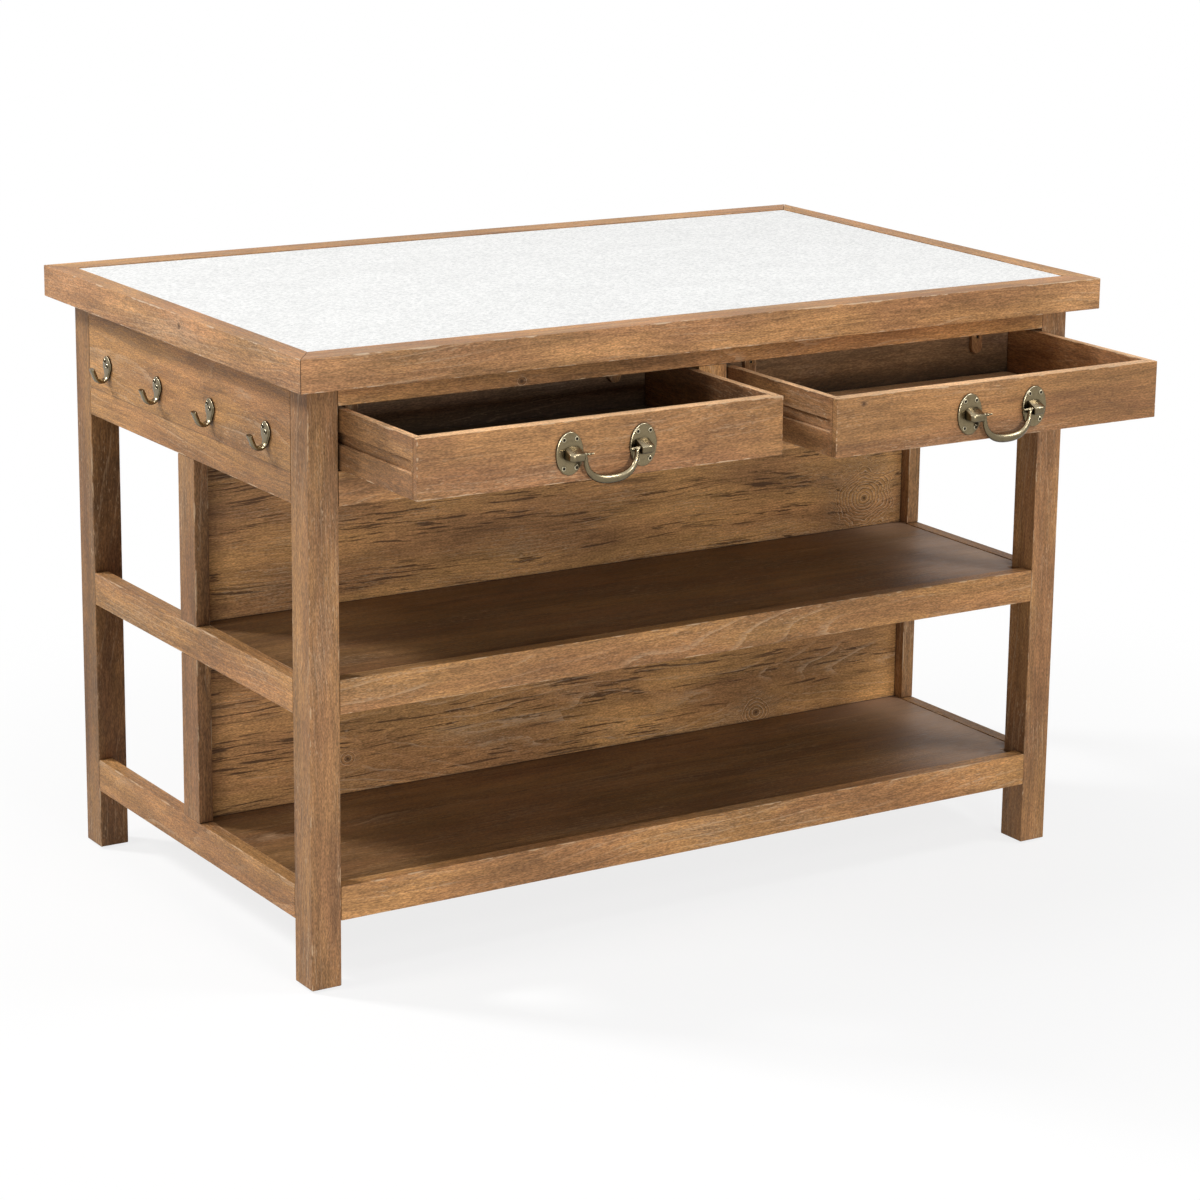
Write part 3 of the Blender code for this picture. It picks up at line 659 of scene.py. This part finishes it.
frame_wood = wood("frame_wood", base=(0.345, 0.178, 0.070))
top_wood = wood("top_wood", base=(0.408, 0.220, 0.098), streaks=0.20, worn=PALE)
leg_wood = wood("leg_wood", base=(0.258, 0.135, 0.058), rings=0.15, lines=0.35, streaks=0.20, flecks=0.55)
drawer_wood = wood("drawer_wood", base=(0.258, 0.130, 0.054), rings=0.12, lines=0.25, streaks=0.12,
                   bare_top=BARE_AND_LIT)
# Inside wood: low edges painted darker as painted shade, upward faces painted lighter
inside_wood = wood("inside_wood", base=(0.175, 0.106, 0.057), lines=0.15, flecks=0.25, wear=0.4,
                   foot_shade=0.25, bare_top=BARE_AND_LIT)
# Near-black wood for the left drawer's bottom: painted shade
lining_wood = wood("lining_wood", base=(0.062, 0.040, 0.022), lines=0.10, flecks=0.10, wear=0.2)
# Shelves painted lighter at their far right end: painted light and sheen
shelf_wood = wood("shelf_wood", base=(0.172, 0.088, 0.036), lines=0.25, streaks=0.55, flecks=0.35,
                  lit_end=1.0, roughness=0.50, gloss=0.22)
panel_wood = wood("panel_wood", base=(0.390, 0.206, 0.080), rings=0.32, lines=0.50, streaks=0.85,
                  clear=0.40, wear=0.4, spacing=0.0055)
stone_finish = stone()
brass_finish = brass("antique_brass")
# A darker copy of the brass for the posts and grips: painted shade standing for dark reflections
shaded_brass_finish = brass("dark_brass", shine=(0.185, 0.147, 0.086), tarnish_and_shade=(0.030, 0.023, 0.014),
                          painted_highlight=(0.48, 0.40, 0.26))
screw_finish = brass("screw_brass", shine=(0.52, 0.45, 0.30), tarnish_and_shade=(0.16, 0.13, 0.08))
socket_shade_finish = socket_shade()
glide_finish = moulded_plastic()


def worktop():
    """Mitred border boards with eased outer edges, and the stone."""
    low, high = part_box("top_border_front")
    left_low, left_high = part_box("top_border_left")
    stone_low, stone_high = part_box("stone_top")
    half_x = -left_low.x
    centre_y = (left_low.y + left_high.y) / 2
    half_y = centre_y - low.y
    width = stone_low.y - low.y
    end_share = (stone_low.x - left_low.x) / width
    ledge_inset = high.y - low.y
    ledge_z = stone_low.z - FIT
    under = circle(EASE, EASE, EASE_POINTS, -math.pi / 2, -math.pi / 2)
    over = circle(EASE, EASE, EASE_POINTS, math.pi, -math.pi / 2)
    profile = [(EASE + x, low.z + EASE + z) for x, z in under]
    profile += [(EASE + x, high.z - EASE + z) for x, z in over]
    profile += [(width - EASE_FINE, high.z), (width, high.z - EASE_FINE), (width, ledge_z)]
    profile += [(ledge_inset, ledge_z), (ledge_inset, low.z)]
    for name, side in (("front", -1), ("back", 1)):
        rings = [[(end * (half_x - inset * end_share - MITRE_GAP), centre_y + side * (half_y - inset), z)
                  for inset, z in profile] for end in (-1, 1)]
        border_board(name, rings, "X")
    for name, side in (("left", -1), ("right", 1)):
        rings = [[(side * (half_x - inset * end_share), centre_y + end * (half_y - inset - MITRE_GAP), z)
                  for inset, z in profile] for end in (-1, 1)]
        border_board(name, rings, "Y")
    stone_high.z -= STONE_RECESS
    mesh = ease(block(stone_low, stone_high), EASE_FINE)
    slab = piece("stone_slab", mesh, stone_finish, "island", ("stone_top",), flat_faces=True)
    lay_grain(slab, "X")


def border_board(name, rings, axis):
    """One mitred board of the worktop's border."""
    node = f"top_border_{name}"
    mesh = loft(bmesh.new(), rings)
    item = piece(f"{node}_board", mesh, top_wood, "island", (node,), flat_faces=True)
    lay_grain(item, axis, True, KNOTS.get(node, ()))


def carcass():
    """Legs, glides, aprons, rails, posts and panels."""
    # Front legs painted lighter and back legs darker: painted fall-off of the light
    for end, tone in LEG_LIGHT_FALLOFF:
        for side in ("left", "right"):
            board(f"leg_{end}_{side}", "Z", leg_wood, width=EASE_LEG, tone=tone)
            glide(f"glide_{end}_{side}")
    for side in ("left", "right"):
        board(f"apron_{side}", "Y", frame_wood, seam=APRON_SEAM)
        rail_wood = frame_wood if side == "left" else leg_wood
        board(f"mid_rail_{side}", "Y", rail_wood)
        board(f"low_rail_{side}", "Y", rail_wood)
        board(f"upper_post_{side}", "Z", leg_wood)
        board(f"lower_post_{side}", "Z", leg_wood)
    board("front_top_rail", "X", frame_wood)
    board("front_low_rail", "X", frame_wood, tone=LOW_RAIL_TONE)
    for node in ("mid_shelf_rail", "low_shelf_rail", "back_apron"):
        board(node, "X", frame_wood)
    board("drawer_stile", "Z", frame_wood)
    for node in ("upper_panel", "lower_panel"):
        board(node, "X", panel_wood)


def glide(node):
    """A round pad with eased edges under a leg."""
    low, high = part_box(node)
    centre = (low + high) / 2
    radius = (high.x - low.x) / 2
    outline = [(centre.x + x, centre.y + y) for x, y in circle(radius, radius, GLIDE_SIDES)]
    mesh = ease(prism(outline, "Z", low.z, high.z), EASE_FINE)
    piece(f"{node}_pad", mesh, glide_finish, "island", (node,), flat_faces=True)


def shelves():
    """Shelf boards notched round the front legs."""
    leg_low, leg_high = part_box("leg_front_right")
    inner = leg_low.x - NOTCH_ROOM
    back = leg_high.y + FIT
    for node in ("mid_shelf", "low_shelf"):
        low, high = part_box(node)
        outline = [(-inner, low.y), (inner, low.y), (inner, back), (high.x, back),
                   (high.x, high.y), (low.x, high.y), (low.x, back), (-inner, back)]
        board(node, "X", shelf_wood, width=EASE_FINE, mesh=prism(outline, "Z", low.z, high.z))


def runners():
    """Stepped drawer runners at the sides and the carrier in the middle."""
    leg_low, leg_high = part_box("leg_front_right")
    behind = leg_high.y + FIT
    for name, side in (("left", -1), ("right", 1)):
        low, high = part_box(f"drawer_runner_{name}")
        tip, wall = (high.x, low.x) if side < 0 else (low.x, high.x)
        at_leg = side * (leg_low.x - FIT)
        outline = [(tip, low.y), (at_leg, low.y), (at_leg, behind),
                   (wall, behind), (wall, high.y), (tip, high.y)]
        mesh = prism(outline, "Z", low.z, high.z)
        board(f"drawer_runner_{name}", "Y", inside_wood, width=EASE_FINE, mesh=mesh)
    tongue_low, tongue_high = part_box("drawer_runner_left")
    low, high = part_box("drawer_carrier")
    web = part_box("drawer_stile")[1].x
    right = [(web, low.z), (web, tongue_low.z), (high.x, tongue_low.z), (high.x, tongue_high.z),
             (web, tongue_high.z), (web, high.z)]
    left = [(-x, z) for x, z in reversed(right)]
    mesh = prism(right + left, "Y", low.y, high.y)
    board("drawer_carrier", "Y", inside_wood, width=EASE_FINE, mesh=mesh)


def drawer(name, bottom_wood):
    """Front with lips, grooved sides, back and bottom."""
    low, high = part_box(f"{name}_front")
    back_low, back_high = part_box(f"{name}_back")
    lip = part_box(f"{name}_side_left")[0].y - FIT
    outline = [(low.x, low.y), (high.x, low.y), (high.x, lip), (back_high.x, lip), (back_high.x, high.y),
               (back_low.x, high.y), (back_low.x, lip), (low.x, lip)]
    mesh = prism(outline, "Z", low.z, high.z)
    board(f"{name}_front", "X", drawer_wood, name, mesh=mesh, joined=False)
    runner_low, runner_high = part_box("drawer_runner_left")
    for side in ("left", "right"):
        low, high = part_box(f"{name}_side_{side}")
        outer = low.x if side == "left" else high.x
        groove = block((outer - GROOVE_DEPTH, low.y + GROOVE_START, runner_low.z - GROOVE_BELOW),
                       (outer + GROOVE_DEPTH, high.y + GROOVE_DEPTH, runner_high.z + GROOVE_ABOVE))
        mesh = carve(block(low, high), groove)
        board(f"{name}_side_{side}", "Y", drawer_wood, name, width=EASE_FINE, mesh=mesh)
    board(f"{name}_back", "X", inside_wood, name, width=EASE_FINE)
    board(f"{name}_bottom", "X", bottom_wood, name, width=EASE_FINE)


def screws(name, body, places, out, radius=SCREW_RADIUS, hole=SCREW_HOLE, metal=screw_finish):
    """Round screw heads that stand on their places and face out, with sockets in painted shade."""
    turn = Vector(out).to_track_quat("Z", "Y").to_matrix()
    head = [(radius * share, rise) for share, rise in SCREW_HEAD]
    head += [(hole * share, rise) for share, rise in SCREW_MOUTH]
    socket = [(hole * share, rise) for share, rise in SCREW_SOCKET]
    for part, profile, finish in (("screws", head, metal), ("sockets", socket, socket_shade_finish)):
        mesh = bmesh.new()
        for place in places:
            rings = []
            for reach, rise in profile:
                ring = [Vector((x, y, rise * SCREW_RISE)) for x, y in circle(reach, reach, SCREW_SIDES)]
                rings.append([Vector(place) + turn @ point for point in ring])
            loft(mesh, rings)
        piece(f"{name}_{part}", mesh, finish, body)


def drawer_stop(node, body, turn):
    """A round-ended wooden button with its screw."""
    low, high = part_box(node)
    centre = (low + high) / 2
    half = (STOP_LENGTH - STOP_WIDTH) / 2
    end = STOP_WIDTH / 2
    outline = [(x, z + half) for x, z in circle(end, end, STOP_END_POINTS, 0.0, math.pi)]
    outline += [(x, z - half) for x, z in circle(end, end, STOP_END_POINTS, math.pi, math.pi)]
    spin = Matrix.Rotation(turn, 2)
    outline = [Vector((centre.x, centre.z)) + spin @ Vector(pair) for pair in outline]
    mesh = ease(prism(outline, "Y", low.y, high.y), EASE_FINE, 2)
    item = piece(f"{node}_button", mesh, leg_wood, body, (node,), flat_faces=True)
    lay_grain(item, "Z")
    screws(node, body, [(centre.x, low.y, centre.z)], (0, -1, 0))


def boss_section():
    """Side outline of a handle's post: out from the plate, and up."""
    chin = circle(BOSS_ROUND, BOSS_ROUND, BOSS_ROUND_POINTS, -math.pi / 2, -math.pi / 2)
    brow = circle(BOSS_ROUND, BOSS_ROUND, BOSS_ROUND_POINTS, math.pi, -BOSS_BROW_TURN)
    nose = BOSS_ROUND - BOSS_DEPTH
    section = [(FIT, -BOSS_FALL)]
    section += [(nose + y, BOSS_ROUND - BOSS_FALL + z) for y, z in chin]
    section += [(nose + y, BOSS_BROW - BOSS_ROUND + z) for y, z in brow]
    section.append((FIT, BOSS_RISE))
    return section


def handle_plate(node, body, inward):
    """An oval plate with a softened edge, its wedge-shaped post and four screws."""
    low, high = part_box(node)
    centre = Vector(((low.x + high.x) / 2, high.y, (low.z + high.z) / 2))
    half = (high - low) / 2
    face = centre.y - PLATE_THICKNESS
    mesh = bmesh.new()
    rings = []
    for inset, out in PLATE_EDGE:
        rim = circle(half.x - inset, half.z - inset, PLATE_SIDES)
        rings.append([(centre.x + x, centre.y - out, centre.z + z) for x, z in rim])
    loft(mesh, rings)
    plate_faces = len(mesh.faces)
    stations = []
    for k in range(BOSS_STEPS + 1):
        quarter = k / BOSS_STEPS * math.pi / 2
        stations.append((BOSS_SHOULDER * (1 - math.cos(quarter)) - BOSS_OUTER,
                         BOSS_TAPER + (1 - BOSS_TAPER) * math.sin(quarter)))
    stations += [(BOSS_INNER - EASE_FINE, 1.0), (BOSS_INNER, BOSS_LIP)]
    section = boss_section()
    loft(mesh, [[(centre.x + inward * along, face + y * share, centre.z + z * share) for y, z in section]
                for along, share in stations])
    item = piece(f"{node}_casting", mesh, brass_finish, body, (node,), smooth_angle=48)
    item.data.materials.append(shaded_brass_finish)
    for face_number in range(plate_faces, len(item.data.polygons)):
        item.data.polygons[face_number].material_index = 1
    corners = [(x, z) for x in (-PLATE_SCREW_X, PLATE_SCREW_X) for z in (-PLATE_SCREW_Z, PLATE_SCREW_Z)]
    screws(node, body, [(centre.x + x, face, centre.z + z) for x, z in corners], (0, -1, 0))


def tube(path, radii, sides, across):
    """Rings round a path that lies in one plane, with across square to it."""
    rings = []
    for index, point in enumerate(path):
        ahead = (path[min(index + 1, len(path) - 1)] - path[max(index - 1, 0)]).normalized()
        side = ahead.cross(across)
        ring = circle(radii[index], radii[index], sides)
        rings.append([point + u * side + v * across for u, v in ring])
    return rings


def bail(node, body):
    """The swelling grip, its pins and the turned nibs inside its arms."""
    low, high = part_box(node)
    centre = Vector(((low.x + high.x) / 2, (low.y + high.y) / 2, low.z + BAIL_DROP + GRIP_RADIUS))
    inner_face = HANDLE_SPACING / 2 - BOSS_INNER
    arm_x = inner_face - ARM_ROOM - ARM_RADIUS
    start = [Vector((inner_face + PIN_LENGTH, 0, 0))]
    start_radii = [PIN_RADIUS]
    shoulder = circle(SHOULDER, SHOULDER, SHOULDER_STEPS + 1, math.pi / 2, math.pi / 2)
    for k, (x, z) in enumerate(shoulder):
        start.append(Vector((arm_x + SHOULDER + x, 0, z - SHOULDER)))
        start_radii.append(PIN_RADIUS + (ARM_RADIUS - PIN_RADIUS) * k / SHOULDER_STEPS)
    grip = []
    grip_radii = []
    for k in range(GRIP_STEPS):
        turn = math.pi * (k + 0.5) / GRIP_STEPS
        x = arm_x * abs(math.cos(turn)) ** GRIP_SQUARE
        z = -BAIL_DROP * math.sin(turn) ** GRIP_SQUARE
        if z < -GRIP_START * SHOULDER:
            grip.append(Vector((math.copysign(x, math.cos(turn)), 0, z)))
            grip_radii.append(ARM_RADIUS + (GRIP_RADIUS - ARM_RADIUS) * math.sin(turn) ** 2)
    end = [Vector((-point.x, 0, point.z)) for point in reversed(start)]
    path = [centre + point for point in start + grip + end]
    radii = start_radii + grip_radii + start_radii[::-1]
    mesh = loft(bmesh.new(), tube(path, radii, GRIP_SIDES, Vector((0, 1, 0))))
    for side in (-1, 1):
        rings = []
        for reach, radius in NIB:
            nib = circle(radius, radius, NIB_SIDES)
            rings.append([centre + Vector((side * (arm_x - reach), y, z)) for y, z in nib])
        loft(mesh, rings)
    piece(f"{node}_grip", mesh, shaded_brass_finish, body, (node,), smooth_angle=50)


def hook(node):
    """A leaf-shaped plate that narrows and bends out into a flat-ended prong, with two screws."""
    low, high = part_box(node)
    wall = high.x + FIT
    centre_y = (low.y + high.y) / 2
    back = LEAF_THICK / 2 + FIT
    sections = [((back, -LEAF_LENGTH * share), (1.0, 0.0), width, LEAF_THICK) for share, width in LEAF]
    neck = LEAF[-1][1]
    for k in range(1, BEND_STEPS + 1):
        turn = BEND * k / BEND_STEPS
        early = min(1.0, 2 * k / BEND_STEPS)
        blend = early * early * (3 - 2 * early)
        place = (back + BEND_RADIUS * (1 - math.cos(turn)), -LEAF_LENGTH - BEND_RADIUS * math.sin(turn))
        width = neck + (PRONG_WIDTH - neck) * blend
        thick = LEAF_THICK + (PRONG_THICK - LEAF_THICK) * blend
        sections.append((place, (math.cos(turn), math.sin(turn)), width, thick))
    (out, drop), (normal_out, normal_up) = sections[-1][:2]
    for share, width, thick in PRONG_TIP:
        reach = PRONG_LENGTH * share
        place = (out + normal_up * reach, drop - normal_out * reach)
        sections.append((place, (normal_out, normal_up), width, thick))
    rings = []
    for (out, drop), (normal_out, normal_up), width, thick in sections:
        ring = []
        for u, v in circle(1.0, 1.0, HOOK_SIDES):
            aside = width / 2 * math.copysign(abs(u) ** HOOK_SQUARE, u)
            over = thick / 2 * math.copysign(abs(v) ** HOOK_SQUARE, v)
            ring.append((wall - out - over * normal_out, centre_y + aside,
                         high.z + drop + over * normal_up))
        rings.append(ring)
    mesh = loft(bmesh.new(), rings)
    piece(f"{node}_casting", mesh, brass_finish, "island", (node,), smooth_angle=50)
    face = wall - LEAF_THICK - FIT
    places = [(face, centre_y + aside, high.z - drop) for aside, drop in HOOK_SCREWS]
    screws(node, "island", places, (-1, 0, 0), HOOK_SCREW_RADIUS, HOOK_SCREW_HOLE, metal=brass_finish)


def floor():
    """A pale floor that is white to the camera, with the object's shadow close by."""
    mesh = bmesh.new()
    bmesh.ops.create_circle(mesh, cap_ends=True, segments=96, radius=FLOOR_RADIUS)
    item = as_object("studio_floor", mesh)
    g = Graph("studio_floor")
    g.put(g.shader.inputs["Base Color"], FLOOR_COLOUR)
    g.shader.inputs["Roughness"].default_value = 0.9
    glow = g.nodes.new("ShaderNodeEmission")
    path = g.nodes.new("ShaderNodeLightPath")
    seen = g.math("MAXIMUM", path.outputs["Is Camera Ray"], path.outputs["Is Glossy Ray"])
    seen = g.math("MAXIMUM", seen, path.outputs["Is Transmission Ray"])
    place = g.nodes.new("ShaderNodeNewGeometry").outputs["Position"]
    length = g.nodes.new("ShaderNodeVectorMath")
    length.operation = "LENGTH"
    g.put(length.inputs[0], place)
    share = g.ramp(length.outputs["Value"], *FLOOR_FADE, FLOOR_GLOW_NEAR, 1.0)
    blend = g.nodes.new("ShaderNodeMixShader")
    g.put(blend.inputs[0], g.times(seen, share))
    g.links.new(g.shader.outputs[0], blend.inputs[1])
    g.links.new(glow.outputs[0], blend.inputs[2])
    g.links.new(blend.outputs[0], g.nodes["Material Output"].inputs["Surface"])
    item.data.materials.append(g.material)


def sky():
    """White to the camera and to reflections, a low even light to everything else."""
    world = bpy.data.worlds.new("studio")
    bpy.context.scene.world = world
    world.use_nodes = True
    nodes = world.node_tree.nodes
    links = world.node_tree.links
    background = nodes["Background"]
    background.inputs["Color"].default_value = (1.0, 1.0, 1.0, 1.0)
    path = nodes.new("ShaderNodeLightPath")
    seen = path.outputs["Is Camera Ray"]
    for name in ("Is Glossy Ray", "Is Transmission Ray"):
        most = nodes.new("ShaderNodeMath")
        most.operation = "MAXIMUM"
        links.new(seen, most.inputs[0])
        links.new(path.outputs[name], most.inputs[1])
        seen = most.outputs[0]
    strength = nodes.new("ShaderNodeMapRange")
    strength.inputs["To Min"].default_value = AMBIENT
    links.new(seen, strength.inputs["Value"])
    links.new(strength.outputs[0], background.inputs["Strength"])


def lamp(name, right, up, distance, size, level):
    """A square soft lamp aimed at the object."""
    right = math.radians(right)
    up = math.radians(up)
    towards = Vector((math.sin(right) * math.cos(up), -math.cos(right) * math.cos(up), math.sin(up)))
    light = bpy.data.lights.new(name, "AREA")
    light.size = size
    light.energy = level * (math.pi * distance) ** 2
    item = bpy.data.objects.new(name, light)
    bpy.context.scene.collection.objects.link(item)
    item.location = LAMP_AIM + distance * towards
    item.rotation_euler = (-towards).to_track_quat("-Z", "Y").to_euler()


def camera():
    """The photograph's view."""
    forward = Vector((math.sin(CAMERA_AZIMUTH) * math.cos(CAMERA_DROP),
                      math.cos(CAMERA_AZIMUTH) * math.cos(CAMERA_DROP), -math.sin(CAMERA_DROP)))
    level = Vector((math.cos(CAMERA_AZIMUTH), -math.sin(CAMERA_AZIMUTH), 0.0))
    upright = level.cross(forward)
    right = level * math.cos(CAMERA_ROLL) + upright * math.sin(CAMERA_ROLL)
    up = upright * math.cos(CAMERA_ROLL) - level * math.sin(CAMERA_ROLL)
    data = bpy.data.cameras.new("camera")
    data.sensor_width = SENSOR
    data.lens = FOCAL_PIXELS / IMAGE * SENSOR
    data.shift_x = (IMAGE / 2 - CENTRE_PIXEL[0]) / IMAGE
    data.shift_y = (CENTRE_PIXEL[1] - IMAGE / 2) / IMAGE
    item = bpy.data.objects.new("camera", data)
    bpy.context.scene.collection.objects.link(item)
    turn = Matrix((right, up, -forward)).transposed().to_4x4()
    item.matrix_world = Matrix.Translation(CAMERA_PLACE) @ turn
    bpy.context.scene.camera = item
    bpy.context.scene.view_settings.view_transform = "Standard"


worktop()
carcass()
shelves()
runners()
# The left drawer's bottom is near-black painted shade; the right one's is inside wood, its upward face
# painted lighter
for drawer_name, bottom_board_wood in (("left_drawer", lining_wood), ("right_drawer", inside_wood)):
    drawer(drawer_name, bottom_board_wood)
    for side_name, inward in (("left", 1), ("right", -1)):
        handle_plate(f"{drawer_name}_handle_plate_{side_name}", drawer_name, inward)
    bail(f"{drawer_name}_handle_bail", drawer_name.replace("drawer", "bail"))
drawer_stop("left_drawer_stop_left", "left_drawer_stop_a", 0.0)
drawer_stop("left_drawer_stop_right", "left_drawer_stop_b", STOP_TILT)
drawer_stop("right_drawer_stop_left", "right_drawer_stop_a", 0.0)
drawer_stop("right_drawer_stop_right", "right_drawer_stop_b", 0.0)
for hook_number in range(1, 5):
    hook(f"hook_{hook_number}")
floor()
sky()
for lamp_values in LAMPS:
    lamp(*lamp_values)
camera()
